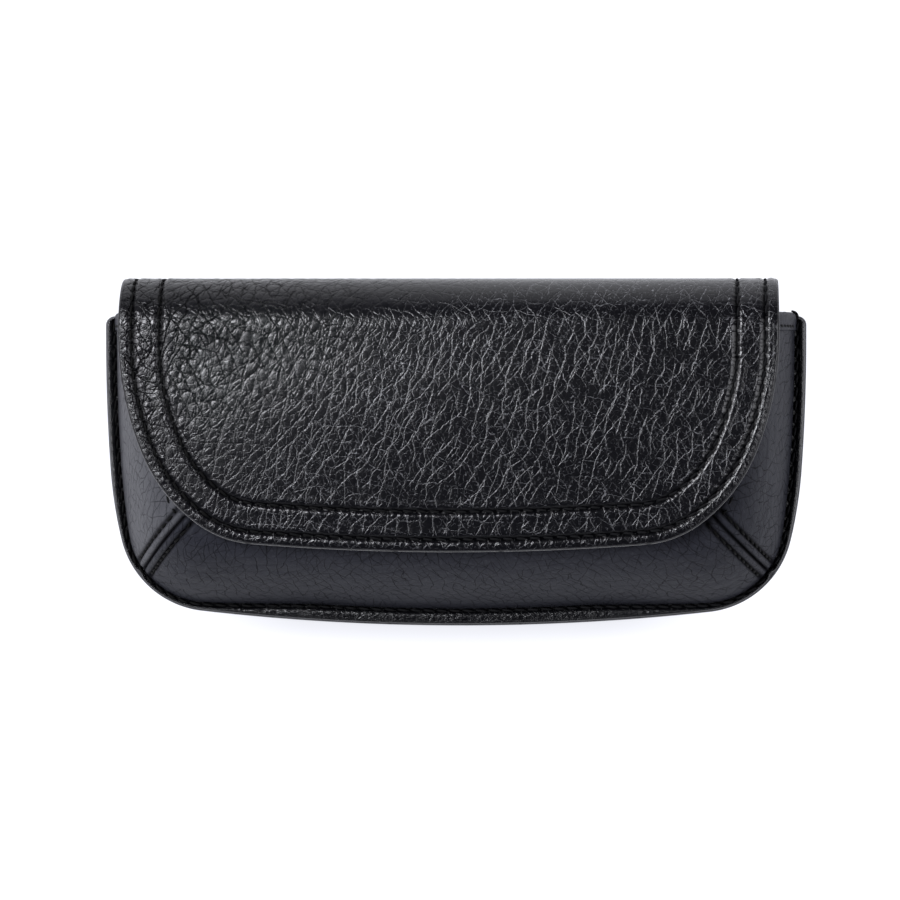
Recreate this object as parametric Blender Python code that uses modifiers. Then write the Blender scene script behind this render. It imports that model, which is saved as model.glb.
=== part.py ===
"""A flap-over spectacle case in black pebbled leather, lying on its back.

The back is flat on the ground plane, the front is up (+Z), the mouth is at +Y and
the width runs along X. A boxed front of three leather panels over a moulded board
is sewn to the back around a flat rim. The leather of the back runs on over the
mouth as a top strip and down the front as the flap, and it bends at two folds.
"""
import math

import bmesh
import bpy
from mathutils import Vector

MM = 0.001

# Overall size
CASE_HEIGHT = 84.3 * MM      # bottom rim to the top of the folded leather
CASE_DEPTH = 38.0 * MM       # back to the outside of the flap
BOTTOM = -CASE_HEIGHT / 2    # Y of the bottom rim, so that the box is centred

# Sheet thicknesses, and the clearance between neighbours
LEATHER = 1.2 * MM
BOARD = 1.0 * MM
LINING = 0.8 * MM
GAP = 0.3 * MM

# The rim: the back and the front panels lie on each other here, and are sewn
RIM_WIDE = 3.9 * MM           # rim outside the front's wall, at the middle of the bottom
RIM_NARROW = 1.6 * MM         # and at the corner seams
RIM_SIDES = 0.38              # how far the sides are from narrow to wide
STITCH_TO_WALL = 0.75 * MM
RIM_TOP_CORNER = 2.0 * MM
BOARD_INSET = 6.0 * MM        # back board inside the rim's edge
LINING_INSET = 9.4 * MM       # and the back lining
RIM_TOP = 2 * LEATHER + GAP

# Outlines of half the case, from the middle of the bottom towards the mouth. Each
# stretch is an arc of a radius in mm that turns by an angle in degrees. The mitred
# corner seam is where the second stretch meets the third.
RIM_ARCS = [(560, 6.4), (22.4, 46.6), (22.4, 23.5), (107, 9.5), (450, 4.0)]
FACE_ARCS = [(700, 4.5), (14, 39.5), (14, 32.5), (160, 6.0), (400, 2.6)]
FLAP_ARCS = [(600, 4.5), (25.5, 32.5), (40, 31), (75, 22)]
STRETCH_STEPS = [5, 3, 2, 2, 3]
FLAP_STEPS = [5, 5, 5, 4]
SEAM = STRETCH_STEPS[0] + STRETCH_STEPS[1]

# The boxed front
MOUTH = 75.0 * MM            # height of the mouth above the bottom rim
FACE_BOTTOM = 21.0 * MM      # bottom of the flat front face
FACE_LEVEL = 32.4 * MM       # front face above the ground plane
WALL_STEPS = 5
WALL_LEAN = ((0.2, 0.4), (0.6, 1.0))    # inner handles of the wall's Bezier section
GUSSET_TOP = 0.88            # parts of the wall's height where the gussets end
INNER_BASE = 0.05            # and where the board and lining of the front begin

# The leather that runs over the mouth
FOLD_START = 74.3 * MM       # where the back leaves the ground plane
BACK_FOLD = 10.0 * MM
FRONT_FOLD = 12.0 * MM
FLAP_CURVE = 1400 * MM       # the flap bows in by a millimetre towards its edge
FLAP_HALF_WIDTH = 78.5 * MM
FLAP_BOTTOM = 18.9 * MM
FOLD_CUT = 0.35 * MM         # half the cut between two bodies at a fold

# Threads, magnets and the mouth's binding
THREAD = 0.5 * MM
EDGE_ROW = 2.9 * MM
INNER_ROW = 9.6 * MM
SEAM_ROW = 2.35 * MM
MAGNET = 10.0 * MM
MAGNET_X = 24.0 * MM
MAGNET_HEIGHT = 30.0 * MM
BINDING = 1.0 * MM
BINDING_LAP = 0.4 * MM


# ---------------------------------------------------------------- the scene

for old in list(bpy.data.objects):
    bpy.data.objects.remove(old)

case = bpy.data.collections.new("spectacle_case")
cutters = bpy.data.collections.new("cutters")
for group in (case, cutters):
    bpy.context.scene.collection.children.link(group)


def material(name, color, roughness, metallic=0.0):
    made = bpy.data.materials.new(name)
    made.use_nodes = True
    shader = made.node_tree.nodes["Principled BSDF"]
    shader.inputs["Base Color"].default_value = (*color, 1)
    shader.inputs["Roughness"].default_value = roughness
    shader.inputs["Metallic"].default_value = metallic
    return made


BLACK_LEATHER = material("black_leather", (0.012, 0.012, 0.014), 0.45)
SUEDE = material("black_suede", (0.02, 0.02, 0.022), 0.95)
CARD = material("grey_board", (0.22, 0.21, 0.19), 0.9)
STEEL = material("nickel_steel", (0.6, 0.6, 0.58), 0.3, 1.0)
BLACK_THREAD = material("black_thread", (0.01, 0.01, 0.01), 0.6)


def place(name, mesh, look, group=case):
    made = bpy.data.objects.new(name, mesh)
    group.objects.link(made)
    made.data.materials.append(look)
    return made


def hinge_empty(name, y, z):
    pivot = bpy.data.objects.new(name, None)
    pivot.location = (0, y, z)
    case.objects.link(pivot)
    return pivot


def hang(piece, pivot):
    """Give a piece a parent without moving it, so that its origin is on the axis."""
    for corner in piece.data.vertices:
        corner.co -= pivot.location
    piece.parent = pivot


# ---------------------------------------------------------------- outlines

def walk(start, arcs, steps, inset=0.0):
    """Points (x, height) of a half outline of tangent arcs, moved inwards by inset."""
    x, up = start[0], start[1] + inset
    heading = 0.0
    points = [(x, up)]
    for (radius, turn), count in zip(arcs, steps):
        radius = radius * MM - inset
        for _ in range(count):
            after = heading + math.radians(turn) / count
            x += radius * (math.sin(after) - math.sin(heading))
            up += radius * (math.cos(heading) - math.cos(after))
            heading = after
            points.append((x, up))
    return points, heading


def rise(points, heading, height, count=2):
    """Carry a half outline straight on until it reaches a height."""
    x, up = points[-1]
    run = (height - up) / math.sin(heading)
    for step in range(1, count + 1):
        part = run * step / count
        points.append((x + part * math.cos(heading), up + part * math.sin(heading)))
    return points


def rim_line(inset):
    return rise(*walk((0, 0), RIM_ARCS, STRETCH_STEPS, inset), MOUTH)


def ease(value, low, high):
    part = min(1.0, max(0.0, (value - low) / (high - low)))
    return part * part * (3 - 2 * part)


def foot_line(outwards=0.0):
    """Where the front's wall leaves the rim: closest to the edge at the corner seams."""
    points = []
    narrow, wide = rim_line(RIM_NARROW - outwards), rim_line(RIM_WIDE - outwards)
    for (x0, up0), (x1, up1) in zip(narrow, wide):
        part = 1 - ease(x0, 30 * MM, 70 * MM) + RIM_SIDES * ease(up0, 14 * MM, 34 * MM)
        points.append((x0 + (x1 - x0) * part, up0 + (up1 - up0) * part))
    return points


def flange_line(inset):
    """The rim's outer edge, whose top corner is cut off."""
    points = rim_line(inset)
    (x0, up0), (x1, _) = points[-2:]
    points[-2] = (x1, MOUTH - RIM_TOP_CORNER)
    points[-1] = (x1 - 0.6 * RIM_TOP_CORNER, MOUTH)
    return points


def both_sides(half):
    """A half outline and its mirror image, from the left side to the right."""
    return [(-x, up) for x, up in reversed(half[1:])] + half


BASE = both_sides(foot_line())
FLANGE = both_sides(flange_line(0.0))
FACE = both_sides(rise(*walk((0, FACE_BOTTOM), FACE_ARCS, STRETCH_STEPS), MOUTH))
MIDDLE = len(BASE) // 2
LEFT_SEAM, RIGHT_SEAM = MIDDLE - SEAM, MIDDLE + SEAM
SEAM_SHIFT = 0.08            # how far a panel's end column stops short of the seam


def column_mix(line, column):
    """A point of an outline at a column number that need not be whole."""
    low = min(int(column), len(line) - 2)
    part = column - low
    (x0, up0), (x1, up1) = line[low], line[low + 1]
    return x0 + (x1 - x0) * part, up0 + (up1 - up0) * part


def spread(start, end, count):
    """Values at even steps from start to end, both included."""
    return [start + (end - start) * step / count for step in range(count + 1)]


def bezier(part, first, second):
    rest = 1 - part
    return 3 * rest * rest * part * first + 3 * rest * part * part * second + part ** 3


def wall_point(column, part):
    """A point of the front's outside: part 0 is at the rim and 1 at the face."""
    x0, up0 = column_mix(BASE, column)
    x1, up1 = column_mix(FACE, column)
    inwards = bezier(part, WALL_LEAN[0][0], WALL_LEAN[1][0])
    upwards = bezier(part, WALL_LEAN[0][1], WALL_LEAN[1][1])
    return Vector((
        x0 + (x1 - x0) * inwards,
        BOTTOM + up0 + (up1 - up0) * inwards,
        RIM_TOP + (FACE_LEVEL - RIM_TOP) * upwards,
    ))


# ---------------------------------------------------------------- the boxed front

def sink(mesh, depth):
    """Move an open surface inwards along its own normals."""
    if depth:
        normals = [corner.normal.copy() for corner in mesh.verts]
        for corner, normal in zip(mesh.verts, normals):
            corner.co -= normal * depth


def sheet(name, mesh, thickness, look, depth=0.0):
    """An open surface made solid on its inner side."""
    bmesh.ops.recalc_face_normals(mesh, faces=mesh.faces)
    mesh.normal_update()
    sink(mesh, depth)
    data = bpy.data.meshes.new(name)
    mesh.to_mesh(data)
    mesh.free()
    made = place(name, data, look)
    solid = made.modifiers.new("thickness", "SOLIDIFY")
    solid.thickness = thickness
    solid.offset = -1
    solid.use_even_offset = True
    data.shade_smooth()
    data.set_sharp_from_angle(angle=math.radians(35))
    return made


def upward(mesh):
    """Turn an open surface so that its largest face looks up."""
    mesh.normal_update()
    largest = max(mesh.faces, key=lambda face: face.calc_area())
    if largest.normal.z < 0:
        bmesh.ops.reverse_faces(mesh, faces=mesh.faces)


def wall_mesh(columns, parts, flange, face_columns=None):
    """A stretch of the front's wall, with its flange and its face where asked."""
    mesh = bmesh.new()
    rows = []
    if flange:
        row = []
        for column in columns:
            x, up = column_mix(FLANGE, column)
            row.append(mesh.verts.new((x, BOTTOM + up, RIM_TOP)))
        rows.append(row)
    for part in parts:
        rows.append([mesh.verts.new(wall_point(column, part)) for column in columns])
    for lower, upper in zip(rows, rows[1:]):
        for left, right in zip(range(len(columns)), range(1, len(columns))):
            mesh.faces.new((lower[left], lower[right], upper[right], upper[left]))
    if face_columns is not None:
        before, after = face_columns
        left = [mesh.verts.new(wall_point(column, 1)) for column in before]
        right = [mesh.verts.new(wall_point(column, 1)) for column in after]
        mesh.faces.new(left + rows[-1] + right)
    return mesh


def wall_parts(first=0.0, last=1.0):
    return spread(first, last, WALL_STEPS)


def cut_holes(target, holes):
    for hole in holes:
        cut = target.modifiers.new(hole.name, "BOOLEAN")
        cut.operation = "DIFFERENCE"
        cut.object = hole


def disc(name, x, y, z, diameter, thickness, look, group=case):
    mesh = bmesh.new()
    bmesh.ops.create_cone(
        mesh, cap_ends=True, segments=24, radius1=diameter / 2, radius2=diameter / 2,
        depth=thickness,
    )
    data = bpy.data.meshes.new(name)
    mesh.to_mesh(data)
    mesh.free()
    made = place(name, data, look, group)
    made.location = (x, y, z)
    return made


def hole(name, x, y, z):
    made = disc(name, x, y, z, MAGNET + 2 * GAP, 4 * MM, STEEL, cutters)
    made.hide_render = True
    made.display_type = "WIRE"
    return made


def make_front():
    last = len(BASE) - 1
    bottom = [LEFT_SEAM + SEAM_SHIFT]
    bottom += list(range(LEFT_SEAM + 1, RIGHT_SEAM))
    bottom += [RIGHT_SEAM - SEAM_SHIFT]
    sides = (range(0, LEFT_SEAM), range(RIGHT_SEAM + 1, last + 1))
    panel = wall_mesh(bottom, wall_parts(), True, sides)
    left = list(range(0, LEFT_SEAM)) + [LEFT_SEAM - SEAM_SHIFT]
    right = [RIGHT_SEAM + SEAM_SHIFT] + list(range(RIGHT_SEAM + 1, last + 1))
    gusset_parts = wall_parts(0, GUSSET_TOP)
    for name, mesh in (
        ("front_panel", panel),
        ("left_gusset", wall_mesh(left, gusset_parts, True)),
        ("right_gusset", wall_mesh(right, gusset_parts, True)),
    ):
        sheet(name, mesh, LEATHER, BLACK_LEATHER)

    around = list(range(0, last + 1))
    inner_parts = wall_parts(INNER_BASE)
    shell = sheet(
        "front_shell", wall_mesh(around, inner_parts, False, ((), ())), BOARD, CARD,
        LEATHER + GAP,
    )
    sheet(
        "front_lining", wall_mesh(around, inner_parts, False, ((), ())), LINING, SUEDE,
        LEATHER + BOARD + 2 * GAP,
    )
    holes = []
    for side, x in (("left", -MAGNET_X), ("right", MAGNET_X)):
        y = BOTTOM + MAGNET_HEIGHT
        z = FACE_LEVEL - LEATHER - GAP - BOARD / 2
        disc(f"keeper_plate_{side}", x, y, z, MAGNET, BOARD, STEEL)
        holes.append(hole(f"keeper_hole_{side}", x, y, z))
    cut_holes(shell, holes)


# ---------------------------------------------------------------- the back

def plate(name, outline, level, thickness, look):
    """A flat sheet of any outline, its underside at a level."""
    mesh = bmesh.new()
    mesh.faces.new([mesh.verts.new((x, BOTTOM + up, level + thickness)) for x, up in outline])
    upward(mesh)
    data = bpy.data.meshes.new(name)
    mesh.to_mesh(data)
    mesh.free()
    made = place(name, data, look)
    solid = made.modifiers.new("thickness", "SOLIDIFY")
    solid.thickness = thickness
    solid.offset = -1
    return made


def make_back():
    board = both_sides(rim_line(BOARD_INSET))
    plate("back_board", board, LEATHER + GAP, BOARD, CARD)
    lining = both_sides(rim_line(LINING_INSET))
    plate("back_lining", lining, LEATHER + BOARD + 2 * GAP, LINING, SUEDE)

    mesh = bmesh.new()
    rim = [mesh.verts.new((x, BOTTOM + up, 0)) for x, up in FLANGE]
    ends = [
        mesh.verts.new((side * (FLAP_HALF_WIDTH + GAP), BOTTOM + MOUTH + 0.4 * MM, 0))
        for side in (1, -1)
    ]
    rows = []
    for step in range(4):
        part = step / 3 * (BACK_CUT - FOLD_CUT)
        _, y, z = over(0, part)
        rows.append([
            mesh.verts.new((side * FLAP_HALF_WIDTH, y, z)) for side in (1, -1)
        ])
    mesh.faces.new(rim + [ends[0], rows[0][0], rows[0][1], ends[1]])
    for lower, upper in zip(rows, rows[1:]):
        mesh.faces.new((lower[0], upper[0], upper[1], lower[1]))
    upward(mesh)
    data = bpy.data.meshes.new("back_leather")
    mesh.to_mesh(data)
    mesh.free()
    made = place("back_leather", data, BLACK_LEATHER)
    solid = made.modifiers.new("thickness", "SOLIDIFY")
    solid.thickness = LEATHER
    solid.offset = 1


# ---------------------------------------------------------------- the folded leather

QUARTER = math.pi / 2
WALL_START = BACK_FOLD * QUARTER
WALL_LENGTH = CASE_DEPTH - BACK_FOLD - FRONT_FOLD
FRONT_START = WALL_START + WALL_LENGTH
FRONT_END = FRONT_START + FRONT_FOLD * QUARTER
BACK_CUT = WALL_START / 2
FRONT_CUT = FRONT_START + FRONT_FOLD * QUARTER / 2


def over(x, along, depth=0.0):
    """A point of the leather that runs over the mouth, at a length along its
    outside from where it leaves the ground plane, and a depth below that outside."""
    if along <= WALL_START:
        turned = along / BACK_FOLD
        up = FOLD_START + (BACK_FOLD - depth) * math.sin(turned)
        z = BACK_FOLD - (BACK_FOLD - depth) * math.cos(turned)
    elif along <= FRONT_START:
        up = CASE_HEIGHT - depth
        z = BACK_FOLD + along - WALL_START
    elif along <= FRONT_END:
        turned = (along - FRONT_START) / FRONT_FOLD
        up = CASE_HEIGHT - FRONT_FOLD + (FRONT_FOLD - depth) * math.cos(turned)
        z = CASE_DEPTH - FRONT_FOLD + (FRONT_FOLD - depth) * math.sin(turned)
    else:
        turned = (along - FRONT_END) / FLAP_CURVE
        up = CASE_HEIGHT - FRONT_FOLD - (FLAP_CURVE - depth) * math.sin(turned)
        z = CASE_DEPTH - FLAP_CURVE + (FLAP_CURVE - depth) * math.cos(turned)
    return Vector((x, BOTTOM + up, z))


def down_front(up):
    """The length along the leather at a height on the flap's front."""
    return FRONT_END + FLAP_CURVE * math.asin((CASE_HEIGHT - FRONT_FOLD - up) / FLAP_CURVE)


# Each pivot is where the two flat stretches would turn to lie in one line without
# stretching the outside of the fold between them.
def pivot_offset(radius):
    return radius * (1 - math.pi / 4)


BACK_PIVOT = (
    BOTTOM + CASE_HEIGHT - pivot_offset(BACK_FOLD),
    pivot_offset(BACK_FOLD),
)
FRONT_PIVOT = (
    BOTTOM + CASE_HEIGHT - pivot_offset(FRONT_FOLD),
    CASE_DEPTH - pivot_offset(FRONT_FOLD),
)


def bent_sheet(name, half_width, lengths, thickness, look, depth, bottoms=None):
    """A sheet that follows the folded leather between some lengths along it. With
    bottoms, each column of the sheet runs on down the front to its own length."""
    mesh = bmesh.new()
    columns = []
    if bottoms is None:
        bottoms = [(-half_width, None), (half_width, None)]
    for x, last in bottoms:
        run = list(lengths)
        if last is not None:
            start, count = run[-1], 5
            run += [start + (last - start) * step / count for step in range(1, count + 1)]
        columns.append([mesh.verts.new(over(x, along, depth)) for along in run])
    for left, right in zip(columns, columns[1:]):
        for low, high in zip(range(len(left)), range(1, len(left))):
            mesh.faces.new((left[low], left[high], right[high], right[low]))
    mesh.faces.ensure_lookup_table()
    mesh.normal_update()
    outer = over(0, lengths[0] + 0.001, depth) - over(0, lengths[0] + 0.001, depth + MM)
    if mesh.faces[0].normal.dot(outer) < 0:
        bmesh.ops.reverse_faces(mesh, faces=mesh.faces)
    data = bpy.data.meshes.new(name)
    mesh.to_mesh(data)
    mesh.free()
    made = place(name, data, look)
    solid = made.modifiers.new("thickness", "SOLIDIFY")
    solid.thickness = thickness
    solid.offset = -1
    data.shade_smooth()
    data.set_sharp_from_angle(angle=math.radians(35))
    return made


def flap_bottoms(inset):
    """Columns (x, length) across the flap, down to its outline moved inwards."""
    half, _ = walk((0, FLAP_BOTTOM), FLAP_ARCS, FLAP_STEPS, inset)
    return [(x, down_front(up)) for x, up in both_sides(half)]


def make_strip(pivot):
    lengths = spread(BACK_CUT + FOLD_CUT, WALL_START, 3)
    lengths += spread(FRONT_START, FRONT_CUT - FOLD_CUT, 3)
    pieces = [
        bent_sheet("top_leather", FLAP_HALF_WIDTH, lengths, LEATHER, BLACK_LEATHER, 0),
        bent_sheet(
            "top_lining", FLAP_HALF_WIDTH - GAP, lengths, LINING, SUEDE, LEATHER + GAP
        ),
    ]
    for row, inset in (("edge", EDGE_ROW), ("inner", INNER_ROW)):
        for side, sign in (("left", -1), ("right", 1)):
            x = sign * (FLAP_HALF_WIDTH - inset)
            path = [over(x, along, -GAP - THREAD / 2) for along in lengths]
            pieces.append(thread(f"top_{row}_thread_{side}", path))
    for piece in pieces:
        hang(piece, pivot)


def make_flap(pivot):
    fold = spread(FRONT_CUT + FOLD_CUT, FRONT_END, 3)
    board_depth = LEATHER + GAP
    lining_depth = LEATHER + BOARD + 2 * GAP
    board = bent_sheet(
        "flap_board", 0, [FRONT_END + MM], BOARD, CARD, board_depth,
        flap_bottoms(EDGE_ROW + MM),
    )
    pieces = [
        board,
        bent_sheet("flap_leather", 0, fold, LEATHER, BLACK_LEATHER, 0, flap_bottoms(0)),
        bent_sheet("flap_lining", 0, fold, LINING, SUEDE, lining_depth, flap_bottoms(GAP)),
    ]
    holes = []
    for side, x in (("left", -MAGNET_X), ("right", MAGNET_X)):
        at = over(x, down_front(MAGNET_HEIGHT), board_depth + BOARD / 2)
        made = disc(f"flap_magnet_{side}", at.x, at.y, at.z, MAGNET, BOARD, STEEL)
        made.location -= pivot.location
        made.parent = pivot
        holes.append(hole(f"magnet_hole_{side}", at.x, at.y, at.z))
    for row, inset in (("edge", EDGE_ROW), ("inner", INNER_ROW)):
        half, _ = walk((0, FLAP_BOTTOM), FLAP_ARCS, FLAP_STEPS, inset)
        lift = -GAP - THREAD / 2
        around = [over(x, down_front(up), lift) for x, up in both_sides(half)]
        side_x = FLAP_HALF_WIDTH - inset
        left = [over(-side_x, along, lift) for along in fold]
        right = [over(side_x, along, lift) for along in reversed(fold)]
        pieces.append(thread(f"flap_{row}_thread", left + around + right))
    cut_holes(board, holes)
    for piece in pieces:
        hang(piece, pivot)


# ---------------------------------------------------------------- threads and binding

def thread(name, path):
    """A round thread along a path, as a closed mesh."""
    curve = bpy.data.curves.new(name, "CURVE")
    curve.dimensions = "3D"
    curve.bevel_depth = THREAD / 2
    curve.bevel_resolution = 0
    curve.use_fill_caps = True
    line = curve.splines.new("POLY")
    line.points.add(len(path) - 1)
    for point, place_at in zip(line.points, path):
        point.co = (*place_at, 1)
    tube = place(name + "_path", curve, BLACK_THREAD)
    bpy.context.view_layer.update()
    graph = bpy.context.evaluated_depsgraph_get()
    data = bpy.data.meshes.new_from_object(tube.evaluated_get(graph))
    data.name = name
    bpy.data.objects.remove(tube)
    mesh = bmesh.new()
    mesh.from_mesh(data)
    bmesh.ops.remove_doubles(mesh, verts=mesh.verts, dist=0.02 * MM)
    bmesh.ops.recalc_face_normals(mesh, faces=mesh.faces)
    mesh.to_mesh(data)
    mesh.free()
    made = bpy.data.objects.new(name, data)
    case.objects.link(made)
    data.shade_smooth()
    return made


def make_threads():
    rim = both_sides(foot_line(STITCH_TO_WALL))
    level = RIM_TOP + GAP + THREAD / 2
    thread("rim_thread", [Vector((x, BOTTOM + up, level)) for x, up in rim])
    for side, seam in (("left", LEFT_SEAM), ("right", RIGHT_SEAM)):
        for row, sign in (("low", -1), ("high", 1)):
            mouthward = sign * (1 if side == "right" else -1)
            path = []
            for step in range(WALL_STEPS + 1):
                part = 0.04 + 0.92 * step / WALL_STEPS
                here = wall_point(seam, part)
                across = (wall_point(seam + mouthward * 0.2, part) - here).normalized()
                ahead = (wall_point(seam, part + 0.02) - here).normalized()
                normal = across.cross(ahead)
                if normal.z < 0:
                    normal.negate()
                path.append(here + across * SEAM_ROW + normal * (GAP + THREAD))
            thread(f"{side}_seam_thread_{row}", path)


def make_binding():
    """The strip that covers the edges of the front's layers along the mouth."""
    mesh = bmesh.new()
    last = len(BASE) - 1
    stack = LEATHER + BOARD + LINING + 2 * GAP
    section = [wall_point(0, part) for part in wall_parts()]
    section += [wall_point(last, part) for part in reversed(wall_parts())]
    outside, inside = [], []
    for number, here in enumerate(section):
        before = section[max(number - 1, 0)]
        after = section[min(number + 1, len(section) - 1)]
        along = Vector((after.x - before.x, 0, after.z - before.z)).normalized()
        outwards = Vector((-along.z, 0, along.x))
        outside.append(here + outwards * BINDING_LAP)
        inside.append(here - outwards * (stack + BINDING_LAP))
    floor = LEATHER + BOARD + 2 * GAP
    for line in (outside, inside):
        for end in (line[0], line[-1]):
            end.z = max(end.z, floor)
    rows = [
        [mesh.verts.new(Vector((spot.x, BOTTOM + MOUTH + GAP, spot.z))) for spot in line]
        for line in (outside, inside)
    ]
    for left, right in zip(range(len(section)), range(1, len(section))):
        mesh.faces.new((rows[0][left], rows[0][right], rows[1][right], rows[1][left]))
    mesh.faces.ensure_lookup_table()
    mesh.normal_update()
    if mesh.faces[0].normal.y < 0:
        bmesh.ops.reverse_faces(mesh, faces=mesh.faces)
    data = bpy.data.meshes.new("mouth_binding")
    mesh.to_mesh(data)
    mesh.free()
    made = place("mouth_binding", data, BLACK_LEATHER)
    solid = made.modifiers.new("thickness", "SOLIDIFY")
    solid.thickness = BINDING
    solid.offset = 1


make_back()
make_front()
make_binding()
make_threads()
make_strip(hinge_empty("back_fold", *BACK_PIVOT))
make_flap(hinge_empty("front_fold", *FRONT_PIVOT))
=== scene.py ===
"""The looks of a flap-over spectacle case in black pebbled leather, lying on its back.

Lengths are in millimetres until a mesh is made. A leather piece is worked out flat,
where its outline, its grain and its stitch rows are, and is then laid onto the case.
"""
import math
from functools import partialmethod

import bpy
import numpy as np
from mathutils import Matrix, Vector, kdtree


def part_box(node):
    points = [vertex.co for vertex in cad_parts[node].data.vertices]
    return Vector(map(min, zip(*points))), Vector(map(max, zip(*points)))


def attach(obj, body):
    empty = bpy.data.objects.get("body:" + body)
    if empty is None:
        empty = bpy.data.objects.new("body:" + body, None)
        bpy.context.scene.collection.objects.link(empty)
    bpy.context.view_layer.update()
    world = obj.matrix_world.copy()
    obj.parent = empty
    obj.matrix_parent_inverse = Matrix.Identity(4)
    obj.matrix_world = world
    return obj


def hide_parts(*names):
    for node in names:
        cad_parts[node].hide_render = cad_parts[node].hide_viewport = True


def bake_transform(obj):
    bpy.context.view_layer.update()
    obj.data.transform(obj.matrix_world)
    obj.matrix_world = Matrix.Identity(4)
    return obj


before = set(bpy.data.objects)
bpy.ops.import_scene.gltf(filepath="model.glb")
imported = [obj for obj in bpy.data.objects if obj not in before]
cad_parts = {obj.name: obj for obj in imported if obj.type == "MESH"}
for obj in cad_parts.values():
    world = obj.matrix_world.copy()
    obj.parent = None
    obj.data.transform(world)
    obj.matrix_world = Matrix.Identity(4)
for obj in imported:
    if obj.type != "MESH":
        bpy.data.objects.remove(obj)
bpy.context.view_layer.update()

MM = 0.001

# ------------------------------------------------------------------ the case's shape

LOW, HIGH = (np.array(corner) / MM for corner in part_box("back_leather"))
BOTTOM = LOW[1]                  # Y of the bottom rim
HEIGHT = -2 * BOTTOM             # bottom rim to the top of the folded leather
DEPTH = 38.0                     # back to the outside of the flap
LEATHER, BOARD, LINING, GAP = 1.2, 1.0, 0.8, 0.3    # sheets, and between them
LAYERS = LEATHER + BOARD + LINING + 2 * GAP    # through the back, and the front
RIM_TOP = 2 * LEATHER + GAP
RIM_WIDE = 3.9                   # rim outside the front's wall, at the bottom's middle
RIM_NARROW = 1.6                 # and at the corner seams
RIM_SIDES = 0.38                 # how far the sides are from narrow to wide
STITCH_TO_WALL = 0.75
RIM_TOP_CORNER = 1.8
MOUTH = 75.0                     # height of the mouth above the bottom rim
FACE_BOTTOM = 21.0
FACE_LEVEL = 32.4                # front face above the ground
FACE_HALF_WIDTH = 76.0
FACE_CROWN = 0.55                # how far its middle bows out
WALL_LEAN = ((0.2, 0.4), (0.6, 1.0))    # inner handles of the wall's Bezier section

# Half outlines as tangent arcs: radius, and angle turned in degrees
RIM_ARCS = [(560, 6.4), (22.4, 46.6), (22.4, 23.5), (107, 9.5), (450, 4.0)]
FACE_ARCS = [(700, 4.5), (14, 39.5), (14, 32.5), (160, 6.0), (400, 2.6)]
FLAP_ARCS = [(600, 4.5), (25.5, 32.5), (40, 31), (75, 22)]

FOLD_START = 74.3                # where the back leaves the ground
BACK_FOLD = 10.0                 # radii of the two folds, and of the flap's bow
FRONT_FOLD = 12.0
FLAP_CURVE = 1400.0
SIDE_DROOP = 0.7                 # how far the flap's sides hang
PADDING = 1.0                    # and how far its middle is padded out
FLAP_HALF_WIDTH = 78.5
FLAP_BOTTOM = 18.9
EDGE_ROW = 2.9                   # the stitched rows, in from the flap's edge
INNER_ROW = 9.6
SEAM_ROW = 2.35                  # and beside a corner seam
BINDING_ROW = 2.1                # and below the mouth
STITCH_PITCH = 3.2
THREAD_ABOVE = 0.38              # a stitch's path above the hide's outside
EDGE_OUT = 0.6                   # how far the painted edge stands out from the skin
MAGNETS = ((-24, 30.0), (24, 30.0))

WALL_START = BACK_FOLD * math.pi / 2
FRONT_START = WALL_START + DEPTH - BACK_FOLD - FRONT_FOLD
FRONT_END = FRONT_START + FRONT_FOLD * math.pi / 2
STRIP_MIDDLE = (WALL_START + FRONT_START) / 2
FLAP_END = FRONT_END + HEIGHT - FRONT_FOLD - FLAP_BOTTOM

GRAIN_STEP = 0.42                # mesh spacing where the leather is seen close
LINING_STEP = 0.9
OUTLINE_STEP = 0.15
NO_EDGE = 99.0                   # a distance that no edge's relief reaches


def smooth(value, low, high):
    part = np.clip((value - low) / (high - low), 0, 1)
    return part * part * (3 - 2 * part)


def bump(value, centre, width):
    return np.exp(-(((value - centre) / width) ** 2))


def beat(along):
    """From none to one and back over each stitch of a row."""
    return 0.5 + 0.5 * np.cos(2 * math.pi * along / STITCH_PITCH)


def unit(vectors):
    return vectors / (np.linalg.norm(vectors, axis=-1, keepdims=True) + 1e-12)


def on_plan(plan, z):
    """Points over a plan (x, up) at a height."""
    z = np.broadcast_to(z, len(plan))
    return np.column_stack([plan[:, 0], BOTTOM + plan[:, 1], z])


# ------------------------------------------------------------------ outlines

def walk(start, arcs, counts, inset=0.0):
    """Points (x, up) of a half outline of tangent arcs, moved inwards by inset."""
    points = [np.array([[start[0], start[1] + inset]])]
    heading = 0.0
    for (radius, turn), count in zip(arcs, counts):
        radius -= inset
        after = heading + np.radians(turn) * np.arange(1, count + 1) / count
        x, up = points[-1][-1]
        points.append(np.stack([
            x + radius * (np.sin(after) - math.sin(heading)),
            up + radius * (math.cos(heading) - np.cos(after)),
        ], axis=1))
        heading = after[-1]
    return np.concatenate(points), heading


def rise(points, heading, up, count):
    """Carry a half outline straight on to a height."""
    start = points[-1]
    run = (up - start[1]) / math.sin(heading) * np.arange(1, count + 1) / count
    more = start + run[:, None] * np.array([math.cos(heading), math.sin(heading)])
    return np.concatenate([points, more])


def both_sides(half):
    left = half[:0:-1] * np.array([-1, 1])
    return np.concatenate([left, half])


def arc_counts(arcs, step):
    return [max(2, round(radius * math.radians(turn) / step)) for radius, turn in arcs]


def length_along(points):
    steps = np.linalg.norm(np.diff(points, axis=0), axis=1)
    return np.concatenate([[0], np.cumsum(steps)])


def resample(points, step):
    """The same polyline with points at even distances."""
    along = length_along(points)
    count = max(2, round(along[-1] / step))
    at = np.linspace(0, along[-1], count + 1)
    return np.stack([np.interp(at, along, points[:, k]) for k in range(points.shape[1])], 1)


# ------------------------------------------------------------------ grain

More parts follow.
